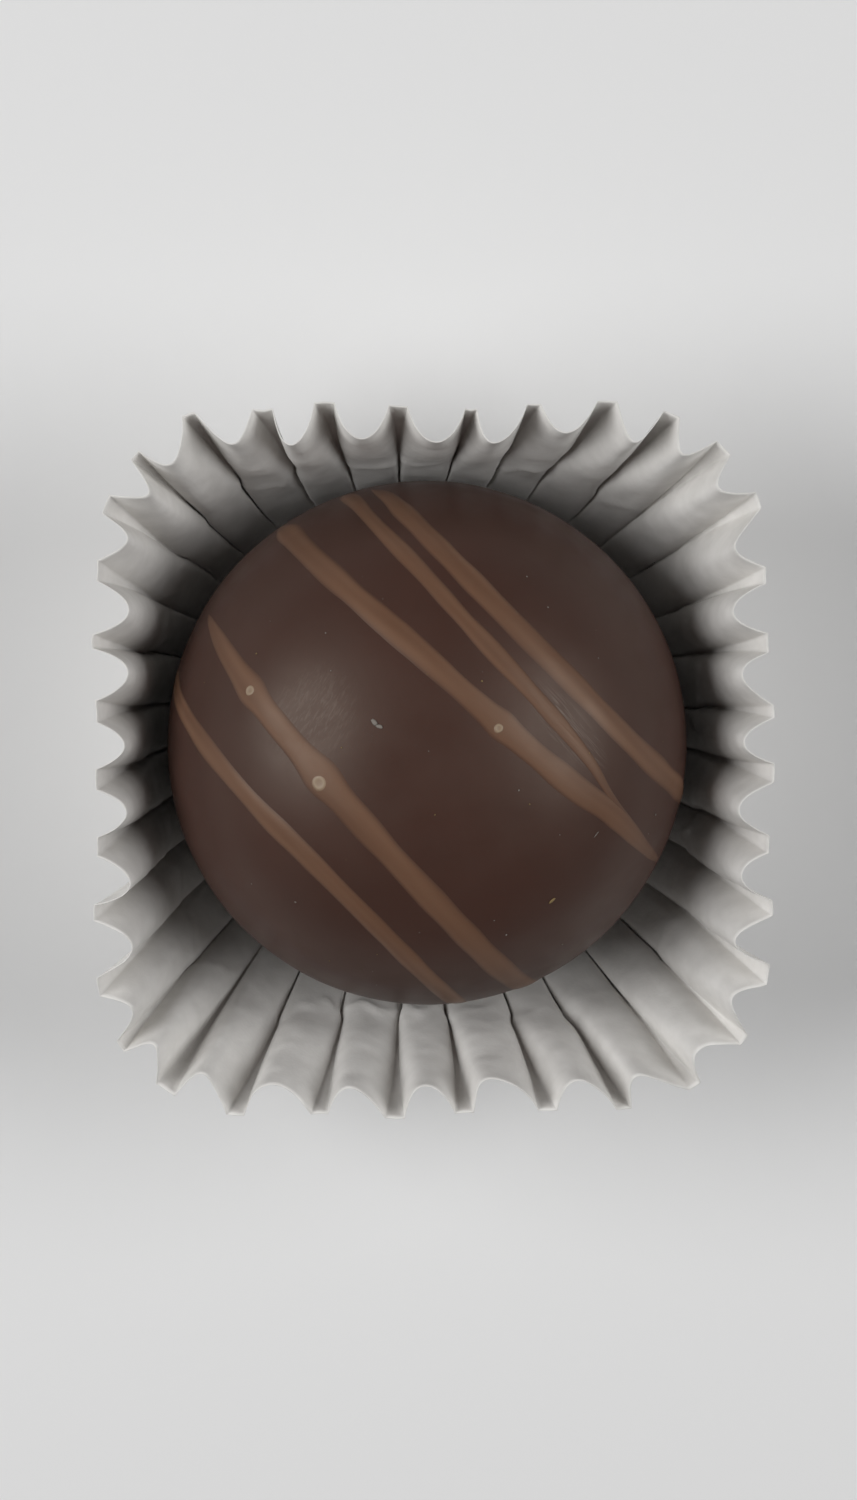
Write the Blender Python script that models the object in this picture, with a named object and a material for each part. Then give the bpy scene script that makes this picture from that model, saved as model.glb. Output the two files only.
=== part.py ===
"""A domed chocolate truffle standing in its pleated paper case.

Metres, +Z up. The origin is on the surface that the case stands on, under the middle of its rim.
X runs across the case's shorter side and Y along its longer one.
"""
import math

import bmesh
import bpy

MM = 0.001

# The paper case: a flat disc of paper pressed into a cup, its wall gathered in pleats.
# Its base stays round, and its rim has taken the shape of a nearly square well.
BASE_RADIUS = 14.3 * MM
WALL_LENGTH = 19.0 * MM          # up the slant, from the base's edge to the cut rim
RIM_HALF_X = 20.15 * MM          # to the outer tips of the pleats
RIM_HALF_Y = 21.3 * MM
RIM_CORNER_RADIUS = 10.0 * MM
WALL_THICKNESS = 0.3 * MM

PLEATS = 36
PLEAT_DEPTH = 1.9 * MM           # at the rim, from a tip in to the panel between two tips
PLEAT_OPENING = 0.8              # how fast the depth grows up the wall: below 1 is fast near the base
TIP_PINCH = 0.5                  # 0 leaves the folds as round as the panels, 1 closes their flanks
STEPS_PER_PLEAT = 6
WALL_LEVELS = (0.0, 0.1, 0.32, 0.56, 0.79, 1.0)      # up the slant, as shares of its length

# The truffle: a moulded dome on a narrower flat foot, a little longer than it is wide.
TRUFFLE_RADIUS = 15.5 * MM
TRUFFLE_STRETCH_Y = 1.01
CROWN_HEIGHT = 13.2 * MM         # from the widest level up to the top
SKIRT_HEIGHT = 11.3 * MM         # from the flat foot up to the widest level
FOOT_RADIUS = 12.0 * MM
FOOT_ROUNDING = 1.1 * MM
CROWN_SQUARENESS = 2.15          # the crown's superellipse exponent: 2 is an ellipse
CROWN_STEPS = 11
SKIRT_STEPS = 7
ROUNDING_STEPS = 3
TRUFFLE_SEGMENTS = 60

REST_GAP = 0.3 * MM              # between the foot and the case's floor
TRUFFLE_X = -0.1 * MM
TRUFFLE_Y = 0.4 * MM


def material(name, colour, roughness):
    """A plain Principled material for one kind of surface."""
    surface = bpy.data.materials.new(name)
    surface.use_nodes = True
    shader = surface.node_tree.nodes["Principled BSDF"]
    shader.inputs["Base Color"].default_value = (*colour, 1.0)
    shader.inputs["Roughness"].default_value = roughness
    surface.diffuse_color = (*colour, 1.0)
    return surface


def add_object(name, bm, surface, sharp_degrees):
    """Turns a bmesh into a smooth-shaded object whose folds and edges stay sharp."""
    bmesh.ops.recalc_face_normals(bm, faces=bm.faces)
    mesh = bpy.data.meshes.new(name)
    bm.to_mesh(mesh)
    bm.free()
    mesh.materials.append(surface)
    mesh.shade_smooth()
    mesh.set_sharp_from_angle(angle=math.radians(sharp_degrees))
    thing = bpy.data.objects.new(name, mesh)
    bpy.context.scene.collection.objects.link(thing)
    return thing


def rim_outline(share):
    """The point, and the outward direction, at a share of the way round the rim's tips.

    The outline is a rectangle with round corners. It starts in the middle of the +X side's upper
    corner and runs anticlockwise.
    """
    flat_x = RIM_HALF_X - RIM_CORNER_RADIUS
    flat_y = RIM_HALF_Y - RIM_CORNER_RADIUS
    quarter = RIM_CORNER_RADIUS * math.pi / 2
    sides = (2 * flat_x, 2 * flat_y, 2 * flat_x, 2 * flat_y)
    centres = ((flat_x, flat_y), (-flat_x, flat_y), (-flat_x, -flat_y), (flat_x, -flat_y))
    perimeter = sum(sides) + 4 * quarter
    way = (share % 1.0) * perimeter + quarter / 2
    for corner, (side, centre) in enumerate(zip(sides, centres)):
        turn = corner * math.pi / 2
        if way <= quarter:
            turn += way / RIM_CORNER_RADIUS
            along = 0.0
            break
        way -= quarter
        if way <= side:
            turn += math.pi / 2
            along = way
            break
        way -= side
    else:
        corner, centre, turn, along = 0, centres[0], way / RIM_CORNER_RADIUS, 0.0
    outward = (math.cos(turn), math.sin(turn))
    x = centre[0] + RIM_CORNER_RADIUS * outward[0] - along * outward[1]
    y = centre[1] + RIM_CORNER_RADIUS * outward[1] + along * outward[0]
    return (x, y), outward


def case_column(step):
    """The wall's points at one step round the case, from the base's edge up to the rim."""
    pleat, part = divmod(step, STEPS_PER_PLEAT)
    part /= STEPS_PER_PLEAT
    pinch = TIP_PINCH * math.sin(2 * math.pi * part) / (2 * math.pi)
    share = (pleat + part - pinch) / PLEATS
    fold = PLEAT_DEPTH * math.sin(math.pi * part)
    tip, outward = rim_outline(share)
    angle = 2 * math.pi * share + math.pi / 4
    base = (BASE_RADIUS * math.cos(angle), BASE_RADIUS * math.sin(angle))
    rim = (tip[0] - fold * outward[0], tip[1] - fold * outward[1])
    run = math.dist(base, rim)
    height = math.sqrt(WALL_LENGTH ** 2 - run ** 2)
    for level in WALL_LEVELS:
        inward = fold * level ** PLEAT_OPENING
        x = base[0] + (tip[0] - base[0]) * level - inward * outward[0]
        y = base[1] + (tip[1] - base[1]) * level - inward * outward[1]
        yield x, y, height * level


def make_paper_case():
    """The case's outer surface as one sheet, thickened inwards."""
    bm = bmesh.new()
    columns = []
    for step in range(PLEATS * STEPS_PER_PLEAT):
        columns.append([bm.verts.new(point) for point in case_column(step)])
    for left, right in zip(columns, columns[1:] + columns[:1]):
        for low in range(len(WALL_LEVELS) - 1):
            bm.faces.new((left[low], right[low], right[low + 1], left[low + 1]))
    bm.faces.new([column[0] for column in reversed(columns)])
    paper = material("white candy cup paper", (0.80, 0.79, 0.77), 0.85)
    case = add_object("paper_case", bm, paper, 25)
    thickness = case.modifiers.new("paper thickness", "SOLIDIFY")
    thickness.thickness = WALL_THICKNESS
    thickness.offset = -1.0
    thickness.use_even_offset = True
    return case


def truffle_profile():
    """The truffle's half outline, from its top down to the edge of its foot."""
    for step in range(CROWN_STEPS):
        angle = math.pi / 2 * step / CROWN_STEPS
        radius = TRUFFLE_RADIUS * math.sin(angle) ** (2 / CROWN_SQUARENESS)
        yield radius, SKIRT_HEIGHT + CROWN_HEIGHT * math.cos(angle) ** (2 / CROWN_SQUARENESS)
    # The skirt is part of a taller ellipse, which the foot cuts where it is FOOT_RADIUS wide.
    full_drop = SKIRT_HEIGHT / math.sqrt(1 - (FOOT_RADIUS / TRUFFLE_RADIUS) ** 2)
    last_drop = math.asin((SKIRT_HEIGHT - FOOT_ROUNDING) / full_drop)
    for step in range(SKIRT_STEPS + 1):
        angle = last_drop * step / SKIRT_STEPS
        yield TRUFFLE_RADIUS * math.cos(angle), SKIRT_HEIGHT - full_drop * math.sin(angle)
    edge = TRUFFLE_RADIUS * math.cos(last_drop) - FOOT_ROUNDING
    for step in range(1, ROUNDING_STEPS + 1):
        angle = math.pi / 2 * step / ROUNDING_STEPS
        yield edge + FOOT_ROUNDING * math.cos(angle), FOOT_ROUNDING * (1 - math.sin(angle))


def make_truffle():
    """The dome, turned about its axis, with its flat foot closed by one face."""
    bm = bmesh.new()
    points = [bm.verts.new((radius, 0.0, height)) for radius, height in truffle_profile()]
    edges = [bm.edges.new(pair) for pair in zip(points, points[1:])]
    bmesh.ops.spin(
        bm, geom=points + edges, cent=(0, 0, 0), axis=(0, 0, 1),
        angle=2 * math.pi, steps=TRUFFLE_SEGMENTS)
    bmesh.ops.remove_doubles(bm, verts=bm.verts, dist=0.001 * MM)
    foot = [edge for edge in bm.edges if edge.is_boundary]
    bmesh.ops.edgeloop_fill(bm, edges=foot)
    bmesh.ops.scale(bm, vec=(1.0, TRUFFLE_STRETCH_Y, 1.0), verts=bm.verts)
    chocolate = material("dark chocolate", (0.052, 0.030, 0.024), 0.42)
    truffle = add_object("truffle", bm, chocolate, 40)
    truffle.location = (TRUFFLE_X, TRUFFLE_Y, WALL_THICKNESS + REST_GAP)
    return truffle


for old in list(bpy.data.objects):
    bpy.data.objects.remove(old)
make_paper_case()
make_truffle()
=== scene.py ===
"""A chocolate truffle in its pleated paper case: how it looks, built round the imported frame."""
import math
import random

import bmesh
import bpy
from mathutils import Matrix, Vector, noise


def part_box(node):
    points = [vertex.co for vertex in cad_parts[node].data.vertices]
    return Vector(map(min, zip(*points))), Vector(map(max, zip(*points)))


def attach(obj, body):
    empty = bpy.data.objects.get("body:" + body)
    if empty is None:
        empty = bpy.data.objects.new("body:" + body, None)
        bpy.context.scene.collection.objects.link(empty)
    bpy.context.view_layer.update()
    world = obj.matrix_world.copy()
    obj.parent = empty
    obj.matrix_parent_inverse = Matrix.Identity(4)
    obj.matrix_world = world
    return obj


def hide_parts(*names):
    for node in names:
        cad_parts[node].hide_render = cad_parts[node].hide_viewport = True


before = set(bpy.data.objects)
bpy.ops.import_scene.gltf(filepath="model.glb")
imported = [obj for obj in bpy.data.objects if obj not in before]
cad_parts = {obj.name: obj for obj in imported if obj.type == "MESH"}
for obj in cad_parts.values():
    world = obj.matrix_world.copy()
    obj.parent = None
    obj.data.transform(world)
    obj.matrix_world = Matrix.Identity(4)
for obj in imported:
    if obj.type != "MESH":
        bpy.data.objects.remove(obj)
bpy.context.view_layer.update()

MM = 0.001

# ----------------------------------------------------------------------------------------------
# The paper case. A disc of thin white greaseproof paper, punched out of a stack and pressed
# between a fluted plug and a ring, which gathers its edge into pleats round a flat floor.
# A square well has since pushed the round rim out of shape and left a line of kinks in the wall.
# ----------------------------------------------------------------------------------------------
case_low, case_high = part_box("paper_case")
PAPER_THICKNESS = 0.045 * MM
FLOOR_RADIUS = 14.3 * MM
WALL_LENGTH = 19.0 * MM
RIM_CORNER_RADIUS = 9.4 * MM
PLEATS_BETWEEN_CORNERS = (9, 9.5, 8, 9.5)     # anticlockwise, from the corner at +X +Y
PLEATS = round(sum(PLEATS_BETWEEN_CORNERS))
LEANS = (0.1, 0.0, -0.4, 0.05)                # which way the pleats of each side have been pushed over
PLEAT_DEPTH = 1.9 * MM
TIP_WIDTH = 1.05 * MM                          # of a pleat's blunt outer edge, at the rim
TIP_STEPS = 2                                 # mesh columns on each half of a tip
PANEL_STEPS = 18                              # and on the panel between two tips
WALL_ROWS = 54
KINK_LEVEL = 0.43                             # how far up the wall the well's step has kinked it
BEND_OUT = 0.22 * MM                          # of the wide bend there
CREASE_DEPTH = 0.11 * MM
CREASE_HALF_WIDTH = 0.02                      # as a share of the slant, as levels are
FINE_RAG = (0.35 * MM, 0.08 * MM)             # size and depth of the punched edge's roughness
COARSE_RAG = (1.4 * MM, 0.2 * MM)
CRUMPLE = (2.6 * MM, 0.14 * MM)               # size and depth of the wall's softly crumpled places
FINE_CRUMPLE = (0.9 * MM, 0.04 * MM)

paper_chance = random.Random(11)


def rough(place, size_and_depth):
    """Smooth unevenness of a given size at a place, up or down by about the given depth."""
    size, depth = size_and_depth
    return noise.noise(place / size) * depth


def vary(middle, spread):
    """A value near the middle one, as uneven as hand and machine leave it."""
    return middle + paper_chance.uniform(-spread, spread)


# Each tip has its own place, push outwards, width and length, and each panel its own depth.
tips = [
    {"shift": vary(0, 0.1), "push": vary(-0.15, 0.3) * MM, "width": vary(TIP_WIDTH, 0.3 * MM),
     "reach": vary(0, 0.15) * MM, "jog": vary(0, 0.25) * MM, "kink_level": vary(KINK_LEVEL, 0.07)}
    for _ in range(PLEATS)]
panels = [
    {"depth": vary(PLEAT_DEPTH, 0.3 * MM), "skew": vary(LEANS[4 * pleat // PLEATS], 0.2),
     "fullness": vary(1.0, 0.2), "kink": max(0, vary(0.4, 0.9))}
    for pleat in range(PLEATS)]


def rim_outline(pleat):
    """The point on the rim's outline, and the way out of it, at a number of pleats round it."""
    stretch = 0
    while pleat > PLEATS_BETWEEN_CORNERS[stretch]:
        pleat -= PLEATS_BETWEEN_CORNERS[stretch]
        stretch = (stretch + 1) % 4
    flats = (case_high.x - RIM_CORNER_RADIUS, case_high.y - RIM_CORNER_RADIUS)
    side = 2 * flats[stretch % 2]
    eighth = RIM_CORNER_RADIUS * math.pi / 4
    way = pleat / PLEATS_BETWEEN_CORNERS[stretch] * (side + 2 * eighth)
    corner = stretch if way < eighth + side else stretch + 1
    centre_x = flats[0] * (1, -1, -1, 1)[corner % 4]
    centre_y = flats[1] * (1, 1, -1, -1)[corner % 4]
    along = min(max(way - eighth, 0), side) if corner == stretch else 0
    bent = min(way, eighth) if corner == stretch else way - side
    turn = math.pi / 4 + stretch * math.pi / 2 + bent / RIM_CORNER_RADIUS
    out = Vector((math.cos(turn), math.sin(turn), 0))
    ahead = Vector((-out.y, out.x, 0))
    return Vector((centre_x, centre_y, 0)) + RIM_CORNER_RADIUS * out + along * ahead, out


def pleat_section(step, half_tips, skew, fullness):
    """How far across a pleat a mesh column is, and how deep: blunt tip, steep flank, round panel."""
    if step < TIP_STEPS:
        return half_tips[0] * step / TIP_STEPS, 0.0
    if step > TIP_STEPS + PANEL_STEPS:
        return 1 - half_tips[1] * (2 * TIP_STEPS + PANEL_STEPS - step) / TIP_STEPS, 0.0
    part = (step - TIP_STEPS) / PANEL_STEPS
    across = 0.22 * part + 0.78 * (1 - math.cos(math.pi * part)) / 2
    across += skew * math.sin(math.pi * part) ** 2 * 0.5
    return half_tips[0] + across * (1 - half_tips[0] - half_tips[1]), math.sin(math.pi * part) ** fullness


def case_point(pleat, step, level):
    """A point of the wall's outer face: pleat and step give its column, level its share of the slant."""
    left, right, panel = tips[pleat], tips[(pleat + 1) % PLEATS], panels[pleat]
    pitch = (2.5 + 1.6 * level) * MM          # from tip to tip, at the floor and up to the rim
    narrow = 0.12 + 0.88 * level ** 4         # the tips close to thin lines below the rim
    half_tips = [tip["width"] * narrow / pitch / 2 for tip in (left, right)]
    fullness = panel["fullness"] * (0.5 + 1.0 * level ** 2)
    across, fold = pleat_section(step, half_tips, panel["skew"] * level, fullness)

    def between(what):
        return left[what] + (right[what] - left[what]) * across

    tip, out = rim_outline((pleat + across + between("shift")) % PLEATS)
    angle = math.pi / 4 + 2 * math.pi * (pleat + across + 0.3 * between("shift")) / PLEATS
    foot = FLOOR_RADIUS * Vector((math.cos(angle), math.sin(angle), 0))
    tip += between("push") * out

    length = WALL_LENGTH + between("reach") + rough(tip, FINE_RAG) + rough(tip, COARSE_RAG)
    depth = panel["depth"] * fold
    run = (tip - depth * out - foot).length
    height = math.sqrt(length ** 2 - run ** 2)

    point = foot + (tip - foot) * level - depth * level ** 1.1 * out
    point.z = height * level
    # The kink runs round the wall from tip to tip, and the folds jog sideways where they cross it.
    kink_level = between("kink_level") + 0.07 * noise.noise(tip / (1.5 * MM))
    wide_bend = math.exp(-((level - KINK_LEVEL) / 0.16) ** 2)
    crease = math.exp(-((level - kink_level) / CREASE_HALF_WIDTH) ** 2)
    point += out * (BEND_OUT * wide_bend - CREASE_DEPTH * crease * (0.3 + panel["kink"] * fold))
    below = 0.5 - 0.5 * math.tanh((level - kink_level) / CREASE_HALF_WIDTH)
    ahead = Vector((-out.y, out.x, 0))
    point += ahead * between("jog") * below * min(1, level * 6)
    crumple = rough(point, CRUMPLE) + rough(point, FINE_CRUMPLE)
    return point + out * crumple * min(1, level * 4) * (0.5 + 0.5 * fold)


def make_case_mesh():
    """The floor's rings and the wall's rows as one sheet, from the middle of the floor to the rim."""
    columns = [(pleat, step) for pleat in range(PLEATS) for step in range(2 * TIP_STEPS + PANEL_STEPS)]
    bm = bmesh.new()
    rings = []
    for share in (0.3, 0.6, 0.8, 0.92, 0.97):
        ring = []
        for pleat, step in columns:
            foot = case_point(pleat, step, 0.0)
            lift = abs(noise.noise(foot * share / (5 * MM))) * 0.04 * MM * min(1, (1 - share) * 8)
            ring.append(bm.verts.new((foot.x * share, foot.y * share, lift)))
        rings.append(ring)
    for row in range(WALL_ROWS + 1):
        level = 0.006 + 0.994 * row / WALL_ROWS
        rings.append([bm.verts.new(case_point(pleat, step, level)) for pleat, step in columns])
    for inner, outer in zip(rings, rings[1:]):
        for a in range(len(columns)):
            b = (a + 1) % len(columns)
            bm.faces.new((inner[a], inner[b], outer[b], outer[a]))
    middle = bm.verts.new((0, 0, 0.02 * MM))
    for a in range(len(columns)):
        bm.faces.new((middle, rings[0][(a + 1) % len(columns)], rings[0][a]))
    bmesh.ops.recalc_face_normals(bm, faces=bm.faces)
    mesh = bpy.data.meshes.new("paper_case_sheet")
    bm.to_mesh(mesh)
    bm.free()
    mesh.shade_smooth()
    return mesh


def linear(hex_colour):
    """A hex colour as seen on a screen, turned into the linear values that a shader works in."""
    channels = [int(hex_colour[i:i + 2], 16) / 255 for i in (1, 3, 5)]
    bent = [c / 12.92 if c <= 0.04045 else ((c + 0.055) / 1.055) ** 2.4 for c in channels]
    return (*bent, 1.0)


def add_node(material, kind, links=None, **settings):
    """Adds a node with its settings. links gives its inputs a number, a colour or another node's output."""
    tree = material.node_tree
    node = tree.nodes.new(kind)
    for name, value in settings.items():
        setattr(node, name, value)
    for socket, value in (links or {}).items():
        if isinstance(value, bpy.types.NodeSocket):
            tree.links.new(value, node.inputs[socket])
        else:
            node.inputs[socket].default_value = value
    return node


def greaseproof_paper():
    """Bleached, machine-calendered greaseproof paper: matt, with a faint cloudiness and fibre tooth."""
    paper = bpy.data.materials.new("bleached greaseproof paper")
    paper.use_nodes = True
    shader = paper.node_tree.nodes["Principled BSDF"]
    place = add_node(paper, "ShaderNodeTexCoord").outputs["Object"]
    # Clouds of denser pulp, about 2 mm across, and fibres drawn as coarse as they need to show.
    clouds = add_node(paper, "ShaderNodeTexNoise", {"Vector": place, "Scale": 1 / (1.2 * MM), "Detail": 7.0})
    fibres = add_node(paper, "ShaderNodeTexNoise", {"Vector": place, "Scale": 1 / (0.22 * MM), "Detail": 2.0})
    tint = add_node(paper, "ShaderNodeMix", {
        "Factor": clouds.outputs["Fac"], 6: linear("#D6D4D0"), 7: linear("#F0EEEB")}, data_type="RGBA")
    bump = add_node(paper, "ShaderNodeBump", {
        "Height": fibres.outputs["Fac"], "Strength": 0.7, "Distance": 0.02 * MM})
    paper.node_tree.links.new(tint.outputs[2], shader.inputs["Base Color"])
    paper.node_tree.links.new(bump.outputs["Normal"], shader.inputs["Normal"])
    shader.inputs["Roughness"].default_value = 0.78
    shader.inputs["IOR"].default_value = 1.45
    shader.inputs["Specular IOR Level"].default_value = 0.35
    return paper


case = bpy.data.objects.new("pleated_paper_case", make_case_mesh())
bpy.context.scene.collection.objects.link(case)
case.data.materials.append(greaseproof_paper())
sheet = case.modifiers.new("paper thickness", "SOLIDIFY")
sheet.thickness = PAPER_THICKNESS
sheet.offset = -1.0
sheet.use_even_offset = True
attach(case, "root")
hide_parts("paper_case")

# ----------------------------------------------------------------------------------------------
# The truffle. A ball of ganache in a shell of dark chocolate, with a flat foot where it stood
# to set. The tempered shell has a satin skin, scuffed where it has rubbed on its neighbours. The scuff
# lines are painted paler, partly as a real smear and partly as painted highlight where the lamps' gloss falls.
# ----------------------------------------------------------------------------------------------
truffle_low, truffle_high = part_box("truffle")
WIDEST_RADIUS = (truffle_high.x - truffle_low.x) / 2
STRETCH_Y = (truffle_high.y - truffle_low.y) / (truffle_high.x - truffle_low.x)
SKIRT_HEIGHT = 11.3 * MM
CROWN_HEIGHT = truffle_high.z - truffle_low.z - SKIRT_HEIGHT
CROWN_SQUARENESS = 2.15
SKIRT_ELLIPSE = 17.9 * MM          # how far the skirt's ellipse would go on below the widest level
heart = Vector(((truffle_low.x + truffle_high.x) / 2, (truffle_low.y + truffle_high.y) / 2,
                truffle_low.z + SKIRT_HEIGHT))
foot_depth = heart.z - PAPER_THICKNESS - 0.03 * MM      # the foot rests on the paper's small rises


def truffle_point(direction, lift=0.0):
    """The point of the truffle's skin in a direction from its heart, or a lift above the skin.

    A blunted ellipsoid above the widest level, and below it a longer one cut flat by the foot.
    """
    level = math.hypot(direction.x, direction.y)
    if direction.z >= 0:
        n = CROWN_SQUARENESS
        reach = ((level / WIDEST_RADIUS) ** n + (direction.z / CROWN_HEIGHT) ** n) ** (-1 / n)
    else:
        ellipse = math.hypot(level / WIDEST_RADIUS, direction.z / SKIRT_ELLIPSE)
        flat = -direction.z / foot_depth
        reach = (ellipse ** 14 + flat ** 14) ** (-1 / 14)
    uneven = 0.07 * noise.noise(direction * 1.3 + Vector((4, 1, 7)))
    uneven += 0.018 * noise.noise(direction * 4.5)
    if direction.z < -0.4:
        uneven *= max(0.0, 1 + (direction.z + 0.4) * 5)
    point = direction * (reach + uneven * MM + lift)
    return heart + Vector((point.x, point.y * STRETCH_Y, point.z))


TURN_OVER = 0.97                    # share of the widest radius beyond which a way leads down the side


def over_the_dome(x, y):
    """The direction from the truffle's heart to a place given in mm from above."""
    radius = math.hypot(x, y) * MM
    turn_over = TURN_OVER * WIDEST_RADIUS
    n = CROWN_SQUARENESS
    shown = min(radius, turn_over)
    height = CROWN_HEIGHT * (1 - (shown / WIDEST_RADIUS) ** n) ** (1 / n)
    polar = math.atan2(shown, height) + (radius - shown) / MM * 0.2
    around = math.atan2(y, x)
    return Vector((math.sin(polar) * math.cos(around), math.sin(polar) * math.sin(around), math.cos(polar)))


def make_truffle_mesh():
    bm = bmesh.new()
    bmesh.ops.create_icosphere(bm, subdivisions=7, radius=1.0)
    for vert in bm.verts:
        vert.co = truffle_point(vert.co.normalized())
    mesh = bpy.data.meshes.new("truffle_skin")
    bm.to_mesh(mesh)
    bm.free()
    mesh.shade_smooth()
    return mesh


def scuffed(chocolate, place, x, y, turn, spread, narrowness, line, length):
    """How scuffed the skin is, 0 to 1, round a place on the dome: hair-thin lines, fading outwards.

    All in mm but the turn, in degrees, and the narrowness, the patch's width as a share of its spread.
    """
    centre = truffle_point(over_the_dome(x, y))
    local = {"Vector": place, "Location": centre, "Rotation": (0, 0, math.radians(turn))}
    patch = add_node(chocolate, "ShaderNodeMapping", {
        **local, "Scale": (spread * MM, narrowness * spread * MM, spread * MM)}, vector_type="TEXTURE")
    fading = add_node(chocolate, "ShaderNodeTexGradient", {
        "Vector": patch.outputs["Vector"]}, gradient_type="SPHERICAL")
    drawn_out = add_node(chocolate, "ShaderNodeMapping", {
        **local, "Scale": (length * MM, line * MM, length * MM)}, vector_type="TEXTURE")
    lines = add_node(chocolate, "ShaderNodeTexNoise", {
        "Vector": drawn_out.outputs["Vector"], "Scale": 1.0, "Detail": 3.0, "Distortion": 0.9})
    sharp = add_node(chocolate, "ShaderNodeMapRange", {
        "Value": lines.outputs["Fac"], "From Min": 0.48, "From Max": 0.66, "To Min": 0.0, "To Max": 1.0})
    return add_node(chocolate, "ShaderNodeMath", {
        0: sharp.outputs["Result"], 1: fading.outputs["Fac"]}, operation="MULTIPLY").outputs["Value"]


def tempered_chocolate(name, dark, light, roughness):
    """Tempered chocolate set in air: a satin skin whose gloss is uneven and whose brown drifts."""
    chocolate = bpy.data.materials.new(name)
    chocolate.use_nodes = True
    shader = chocolate.node_tree.nodes["Principled BSDF"]
    place = add_node(chocolate, "ShaderNodeTexCoord").outputs["Object"]
    # Slow drifts of colour, 7 mm across, where the shell is thicker or set sooner.
    drift = add_node(chocolate, "ShaderNodeTexNoise", {"Vector": place, "Scale": 1 / (7 * MM), "Detail": 4.0})
    brown = add_node(chocolate, "ShaderNodeMix", {
        "Factor": drift.outputs["Fac"], 6: linear(dark), 7: linear(light)}, data_type="RGBA")
    # Two scuffed places, both where the lamps' gloss is brightest: faint ridges left by a finger, and a scrape
    # with a smear of pale cocoa butter. Their lines are painted a pale grey that is partly that smear and
    # partly painted highlight.
    finger = scuffed(
        chocolate, place, x=-7.2, y=3.2, turn=60, spread=3.6, narrowness=0.8, line=0.14, length=0.7)
    scrape = scuffed(
        chocolate, place, x=7.7, y=2.5, turn=-50, spread=3.8, narrowness=0.32, line=0.15, length=2.4)
    scuffs = add_node(chocolate, "ShaderNodeMath", {
        0: finger, 1: 0.4, 2: scrape}, operation="MULTIPLY_ADD")
    # The pale grey along the scuff lines is partly a real smear and partly painted highlight, standing in for
    # the lamps' sheen at these places.
    smear_and_sheen_share = add_node(chocolate, "ShaderNodeMath", {
        0: scuffs.outputs["Value"], 1: 0.65}, operation="MULTIPLY")
    smeared_and_sheened_brown = add_node(chocolate, "ShaderNodeMix", {
        "Factor": smear_and_sheen_share.outputs["Value"], 6: brown.outputs[2], 7: linear("#93877E")}, data_type="RGBA")
    # Gloss changes over 3 mm, as the skin was handled.
    handling = add_node(chocolate, "ShaderNodeTexNoise", {
        "Vector": place, "Scale": 1 / (3 * MM), "Detail": 5.0})
    gloss = add_node(chocolate, "ShaderNodeMapRange", {
        "Value": handling.outputs["Fac"], "From Min": 0.3, "From Max": 0.7, "To Min": roughness - 0.05,
        "To Max": roughness + 0.07})
    duller = add_node(chocolate, "ShaderNodeMath", {
        0: scuffs.outputs["Value"], 1: 0.15, 2: gloss.outputs["Result"]}, operation="MULTIPLY_ADD")
    skin = add_node(chocolate, "ShaderNodeTexNoise", {"Vector": place, "Scale": 1 / (0.9 * MM), "Detail": 3.0})
    relief = add_node(chocolate, "ShaderNodeMath", {
        0: scuffs.outputs["Value"], 1: 0.5, 2: skin.outputs["Fac"]}, operation="MULTIPLY_ADD")
    bump = add_node(chocolate, "ShaderNodeBump", {
        "Height": relief.outputs["Value"], "Strength": 0.2, "Distance": 0.03 * MM})
    chocolate.node_tree.links.new(smeared_and_sheened_brown.outputs[2], shader.inputs["Base Color"])
    chocolate.node_tree.links.new(duller.outputs["Value"], shader.inputs["Roughness"])
    chocolate.node_tree.links.new(bump.outputs["Normal"], shader.inputs["Normal"])
    shader.inputs["IOR"].default_value = 1.46
    shader.inputs["Specular IOR Level"].default_value = 0.42
    shader.inputs["Specular Tint"].default_value = linear("#FFF3E4")
    shader.inputs["Subsurface Weight"].default_value = 0.06
    shader.inputs["Subsurface Scale"].default_value = 1.0 * MM
    return chocolate


truffle = bpy.data.objects.new("truffle_shell", make_truffle_mesh())
bpy.context.scene.collection.objects.link(truffle)
truffle.data.materials.append(tempered_chocolate("tempered dark chocolate", "#3B2822", "#472F28", 0.43))
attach(truffle, "root")
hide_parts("truffle")

# ----------------------------------------------------------------------------------------------
# The drizzle. Thin strings of melted milk chocolate that fell across the truffle from moving
# nozzles, settled into low rounded stripes and set. They run on down its sides.
# ----------------------------------------------------------------------------------------------
STRIPE_STEPS = 150
STRIPE_SIDES = 12

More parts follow.
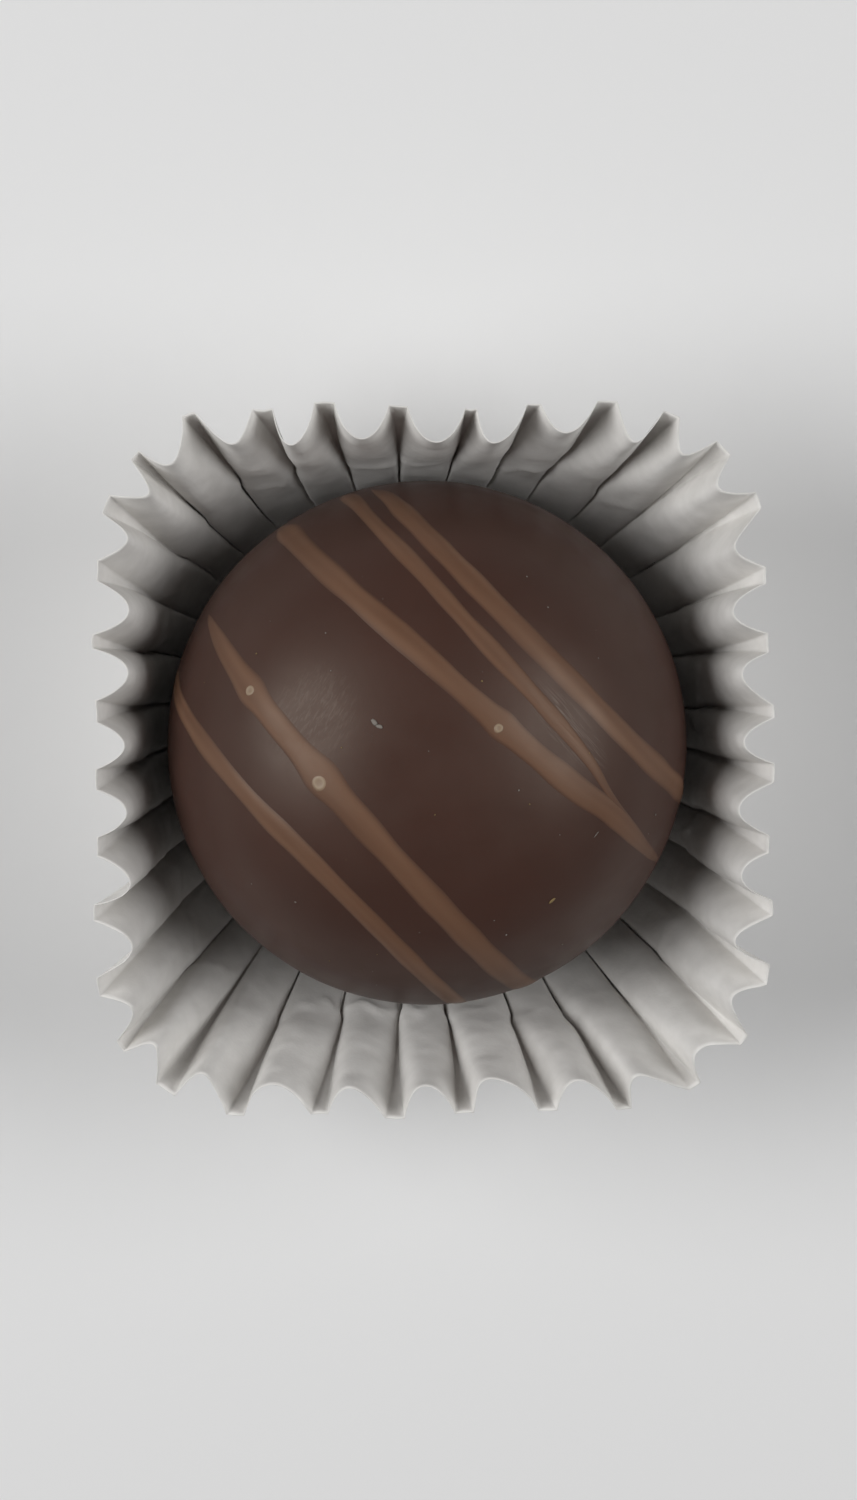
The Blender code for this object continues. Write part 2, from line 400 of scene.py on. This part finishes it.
# Each stripe, in mm: its width and height, and its way over the dome, to the right of the top and
# behind it. Its tapers are the shares of its length over which its start and its end thin out.
STRIPES = [
    {"name": "stripe_front_left", "width": 1.45, "height": 0.08, "tapers": (0.08, 0.06),
     "way": [(-15.6, 4.6), (-15.0, 3.3), (-13.3, 0.9), (-10.3, -2.4), (-7.7, -4.9), (-3.6, -9.1),
             (0.0, -13.1), (2.2, -15.6)]},
    {"name": "stripe_second", "width": 1.8, "height": 0.10, "tapers": (0.2, 0.06),
     "way": [(-13.2, 8.1), (-12.0, 6.2), (-9.7, 3.2), (-7.0, 0.1), (-3.1, -4.3), (0.4, -8.2), (4.3, -12.6),
             (6.9, -15.2)]},
    {"name": "stripe_middle", "width": 1.65, "height": 0.09, "tapers": (0.05, 0.14),
     "way": [(-9.3, 13.7), (-6.3, 11.3), (-3.8, 9.3), (-0.9, 6.9), (3.4, 3.1), (8.1, -1.0), (10.7, -3.1),
             (13.8, -6.8)]},
    {"name": "stripe_fourth", "width": 1.15, "height": 0.08, "tapers": (0.05, 0.42),
     "way": [(-5.2, 15.6), (-3.9, 14.3), (-0.9, 11.5), (1.8, 8.6), (5.9, 4.2), (8.9, 0.6), (10.4, -1.8),
             (12.6, -4.9)]},
    {"name": "stripe_back_right", "width": 1.6, "height": 0.09, "tapers": (0.12, 0.07),
     "way": [(-3.4, 15.8), (-1.3, 14.1), (1.6, 11.4), (4.6, 8.4), (8.4, 4.6), (12.2, 0.6), (14.1, -1.4),
             (16.2, -4.0)]},
]
# Where air bubbles burst in the stripes, which swell a little round them: x, y and radius in mm.
BUBBLES = [(-6.8, -0.6, 0.6), (-10.7, 4.4, 0.4), (3.6, 2.6, 0.38)]


def smooth_way(points, share):
    """A point on the smooth curve through the given ones."""
    spans = len(points) - 1
    at = min(share * spans, spans - 1e-9)
    i = int(at)
    t = at - i
    p = [points[max(0, min(spans, i + k))] for k in (-1, 0, 1, 2)]
    return tuple(
        0.5 * (2 * b + (c - a) * t + (2 * a - 5 * b + 4 * c - d) * t * t + (3 * b - a - 3 * c + d) * t ** 3)
        for a, b, c, d in zip(*p))


def make_stripe_mesh(stripe):
    """A low ribbon that follows the skin. Its cover says how thick the milk chocolate lies, 0 to 1."""
    bm = bmesh.new()
    cover = bm.verts.layers.float.new("cover")
    streak = bm.verts.layers.float.new("streak")
    rows = []
    for step in range(STRIPE_STEPS + 1):
        share = step / STRIPE_STEPS
        here = over_the_dome(*smooth_way(stripe["way"], share))
        ahead = over_the_dome(*smooth_way(stripe["way"], min(1, share + 0.01)))
        behind = over_the_dome(*smooth_way(stripe["way"], max(0, share - 0.01)))
        sideways = (ahead - behind).cross(here).normalized()
        taper = min(1, share / stripe["tapers"][0], (1 - share) / stripe["tapers"][1]) ** 0.7
        wobble = 1 + 0.22 * noise.noise(here * 5 + Vector((0, 0, 3)))
        half = stripe["width"] / 2 * taper * wobble * MM + 0.02 * MM
        for x, y, radius in BUBBLES:
            away = (here - over_the_dome(x, y)).length * WIDEST_RADIUS
            half += 0.45 * radius * MM * math.exp(-(away / (2.2 * radius * MM)) ** 2)
        reach = (truffle_point(here) - heart).length
        row = []
        for side in range(STRIPE_SIDES + 1):
            v = 2 * side / STRIPE_SIDES - 1
            bulge = (1 - abs(v) ** 2.6) ** 1.3
            direction = (here + sideways * (v * half / reach)).normalized()
            lift = stripe["height"] * MM * (0.3 + 0.7 * taper) * bulge - 0.015 * MM
            vert = bm.verts.new(truffle_point(direction, lift))
            vert[cover] = min(1, bulge * 1.6) * taper ** 0.5
            vert[streak] = 0.5 + 0.8 * noise.noise(Vector((v * 1.6, share * 5, stripe["width"] * 40)))
            row.append(vert)
        rows.append(row)
    for near, far in zip(rows, rows[1:]):
        for side in range(STRIPE_SIDES):
            bm.faces.new((near[side], near[side + 1], far[side + 1], far[side]))
    mesh = bpy.data.meshes.new(stripe["name"])
    bm.to_mesh(mesh)
    bm.free()
    mesh.shade_smooth()
    return mesh


def streaked_and_thin(chocolate, dark, light, below):
    """Streaks drawn out along a stripe, and the darker chocolate below showing where it thins out."""
    cover = add_node(chocolate, "ShaderNodeAttribute", attribute_name="cover")
    streak = add_node(chocolate, "ShaderNodeAttribute", attribute_name="streak")
    milky = add_node(chocolate, "ShaderNodeMix", {
        "Factor": streak.outputs["Fac"], 6: linear(dark), 7: linear(light)}, data_type="RGBA")
    blend = add_node(chocolate, "ShaderNodeMix", {
        "Factor": cover.outputs["Fac"], 6: linear(below), 7: milky.outputs[2]}, data_type="RGBA")
    shader = chocolate.node_tree.nodes["Principled BSDF"]
    chocolate.node_tree.links.new(blend.outputs[2], shader.inputs["Base Color"])


MILK_BROWNS = ("#604434", "#6F5240")
milk_chocolate = tempered_chocolate("tempered milk chocolate", *MILK_BROWNS, 0.45)
streaked_and_thin(milk_chocolate, *MILK_BROWNS, "#402B25")
for stripe in STRIPES:
    string = bpy.data.objects.new(stripe["name"], make_stripe_mesh(stripe))
    bpy.context.scene.collection.objects.link(string)
    string.data.materials.append(milk_chocolate)
    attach(string, "root")

# ----------------------------------------------------------------------------------------------
# Burst bubbles. Air that rose through the warm stripes and burst, leaving small pale craters
# with a raised ring, thinner and paler than the stripe.
# ----------------------------------------------------------------------------------------------
BUBBLE_RINGS = 8
BUBBLE_SIDES = 28
BUBBLE_LIFT = 0.085 * MM           # of its floor above the shell, about a stripe's height


def make_bubble_mesh():
    bm = bmesh.new()
    paleness = bm.verts.layers.float.new("paleness")
    for x, y, radius in BUBBLES:
        up = over_the_dome(x, y)
        side = up.cross(Vector((0, 1, 0))).normalized()
        other = up.cross(side)
        rings = []
        for ring in range(1, BUBBLE_RINGS + 1):
            share = ring / BUBBLE_RINGS
            crater = math.exp(-((share - 0.6) / 0.22) ** 2)
            row = []
            for corner in range(BUBBLE_SIDES):
                turn = 2 * math.pi * corner / BUBBLE_SIDES
                round_it = Vector((math.cos(turn), math.sin(turn), radius * 9))
                uneven = 1 + 0.12 * noise.noise(round_it)
                away = (side * math.cos(turn) + other * math.sin(turn)) * radius * share * uneven * MM
                direction = (up * WIDEST_RADIUS + away).normalized()
                lift = BUBBLE_LIFT + (0.03 * crater - 0.05 * share ** 4) * MM
                vert = bm.verts.new(truffle_point(direction, lift))
                vert[paleness] = (0.5 + 0.5 * crater) * (1 - share ** 2) ** 0.7
                row.append(vert)
            rings.append(row)
        middle = bm.verts.new(truffle_point(up, BUBBLE_LIFT))
        middle[paleness] = 0.5
        for corner in range(BUBBLE_SIDES):
            after = (corner + 1) % BUBBLE_SIDES
            bm.faces.new((middle, rings[0][corner], rings[0][after]))
            for inner, outer in zip(rings, rings[1:]):
                bm.faces.new((inner[corner], outer[corner], outer[after], inner[after]))
    bmesh.ops.recalc_face_normals(bm, faces=bm.faces)
    mesh = bpy.data.meshes.new("burst_bubbles")
    bm.to_mesh(mesh)
    bm.free()
    mesh.shade_smooth()
    return mesh


def thin_milk_chocolate():
    """Milk chocolate drawn thin round a burst bubble: satin, and paler than the stripe."""
    chocolate = bpy.data.materials.new("milk chocolate round a burst bubble")
    chocolate.use_nodes = True
    shader = chocolate.node_tree.nodes["Principled BSDF"]
    paleness = add_node(chocolate, "ShaderNodeAttribute", attribute_name="paleness")
    tone = add_node(chocolate, "ShaderNodeMix", {
        "Factor": paleness.outputs["Fac"], 6: linear("#684C3B"), 7: linear("#9C8A72")}, data_type="RGBA")
    chocolate.node_tree.links.new(tone.outputs[2], shader.inputs["Base Color"])
    shader.inputs["Roughness"].default_value = 0.5
    shader.inputs["IOR"].default_value = 1.46
    return chocolate


bubbles = bpy.data.objects.new("burst_bubbles", make_bubble_mesh())
bpy.context.scene.collection.objects.link(bubbles)
bubbles.data.materials.append(thin_milk_chocolate())
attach(bubbles, "root")

# ----------------------------------------------------------------------------------------------
# Crumbs. Specks of sugar and pale chocolate, a few tenths of a millimetre at most, that stuck to
# the shell in packing: one larger white flake, one yellowish one, and fine dust all over the dome.
# ----------------------------------------------------------------------------------------------
FURTHEST_CRUMB = 14.2               # mm from the top, seen from above
CRUMB_HEIGHT = 0.05                 # mm, at most
crumb_chance = random.Random(5)
# Each crumb: its place on the dome, half its length and width in mm, its turn, and 1 if it is yellowish.
CRUMBS = [(-3.65, 3.0, 0.26, 0.13, -50, 0), (-3.35, 2.75, 0.25, 0.12, -15, 0),
          (6.9, -7.9, 0.24, 0.10, 55, 1), (9.5, -4.0, 0.25, 0.03, 50, 0)]
for _ in range(55):
    spot_x, spot_y = crumb_chance.uniform(-14, 14), crumb_chance.uniform(-14, 14)
    if math.hypot(spot_x, spot_y) < FURTHEST_CRUMB:
        long_half = crumb_chance.uniform(0.03, 0.06) * crumb_chance.uniform(0.6, 1.3)
        CRUMBS.append((spot_x, spot_y, long_half, long_half * crumb_chance.uniform(0.5, 1),
                       crumb_chance.uniform(0, 180), crumb_chance.choice((0, 0, 0, 1))))


def make_crumb_mesh():
    bm = bmesh.new()
    yellowness = bm.verts.layers.float.new("yellowness")
    for x, y, long_half, short_half, turn, yellow in CRUMBS:
        up = over_the_dome(x, y)
        side = up.cross(Vector((0, 1, 0))).normalized()
        other = side.cross(up)
        turned = Matrix.Rotation(math.radians(turn), 3, up)
        centre = truffle_point(up, 0.02 * MM)
        ball = bmesh.ops.create_icosphere(bm, subdivisions=2, radius=1.0)
        for vert in ball["verts"]:
            lump = 1 + 0.5 * noise.noise(vert.co * 1.4 + Vector((x, y, 0)))
            local = vert.co * lump
            spread = turned @ (side * local.x * long_half + other * local.y * short_half)
            vert.co = centre + (spread + up * local.z * min(CRUMB_HEIGHT, short_half * 0.6)) * MM
            vert[yellowness] = yellow
    mesh = bpy.data.meshes.new("crumbs")
    bm.to_mesh(mesh)
    bm.free()
    mesh.shade_smooth()
    return mesh


def sugar_and_crumb():
    """Crumbs of sugar, greyish, and of pale chocolate, yellowish: both matt on the satin shell."""
    crumb = bpy.data.materials.new("sugar and pale chocolate crumbs")
    crumb.use_nodes = True
    shader = crumb.node_tree.nodes["Principled BSDF"]
    yellowness = add_node(crumb, "ShaderNodeAttribute", attribute_name="yellowness")
    tone = add_node(crumb, "ShaderNodeMix", {
        "Factor": yellowness.outputs["Fac"], 6: linear("#7A736C"), 7: linear("#7A6640")}, data_type="RGBA")
    crumb.node_tree.links.new(tone.outputs[2], shader.inputs["Base Color"])
    shader.inputs["Roughness"].default_value = 0.7
    shader.inputs["IOR"].default_value = 1.5
    return crumb


crumbs = bpy.data.objects.new("crumbs", make_crumb_mesh())
bpy.context.scene.collection.objects.link(crumbs)
crumbs.data.materials.append(sugar_and_crumb())
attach(crumbs, "root")

# ----------------------------------------------------------------------------------------------
# The studio. A pale matt floor under two soft lights, one on each side of the case, and the
# camera high above it, a little behind and to the left.
# ----------------------------------------------------------------------------------------------
def pale_floor():
    """Seamless white background card: matt and even."""
    card = bpy.data.materials.new("white background card")
    card.use_nodes = True
    shader = card.node_tree.nodes["Principled BSDF"]
    shader.inputs["Base Color"].default_value = linear("#E6E6E6")
    shader.inputs["Roughness"].default_value = 0.9
    return card


bpy.ops.mesh.primitive_plane_add(size=3.0, location=(0, 0, 0))
floor = bpy.context.object
floor.name = "floor"
floor.data.materials.append(pale_floor())

LIGHT_REACH = 0.60
LIGHT_TILT = math.radians(46)       # away from straight above
LIGHT_BACK = 0.068                  # both stand this far behind the case
LIGHT_DISC = 0.42                   # how wide each is, which keeps the gloss on the dome soft
for side, name, energy in ((-1, "left_softbox", 2.65), (1, "right_softbox", 1.95)):
    data = bpy.data.lights.new(name, "AREA")
    data.shape = "DISK"
    data.size = LIGHT_DISC
    data.energy = energy
    lamp = bpy.data.objects.new(name, data)
    bpy.context.scene.collection.objects.link(lamp)
    lamp.location = (
        side * LIGHT_REACH * math.sin(LIGHT_TILT), LIGHT_BACK, LIGHT_REACH * math.cos(LIGHT_TILT))
    lamp.rotation_euler = (Vector((0, 0, 0.015)) - lamp.location).to_track_quat("-Z", "Y").to_euler()

world = bpy.data.worlds.new("room")
world.use_nodes = True
world.node_tree.nodes["Background"].inputs["Color"].default_value = (1, 1, 1, 1)
world.node_tree.nodes["Background"].inputs["Strength"].default_value = 0.085
bpy.context.scene.world = world
bpy.context.scene.view_settings.view_transform = "Standard"

CAMERA_STAND = Vector((-22, 68, 488)) * MM     # from the truffle's heart
camera_data = bpy.data.cameras.new("camera")
camera_data.sensor_width = 36
camera_data.lens = 198
camera_data.clip_start = 0.01
camera = bpy.data.objects.new("camera", camera_data)
bpy.context.scene.collection.objects.link(camera)
target = Vector((0, 0, 0.012))
camera.location = heart + CAMERA_STAND
backwards = (camera.location - target).normalized()
rightwards = Vector((0, 1, 0)).cross(backwards).normalized()
upwards = backwards.cross(rightwards)
camera.rotation_euler = Matrix((rightwards, upwards, backwards)).transposed().to_euler()
bpy.context.scene.camera = camera
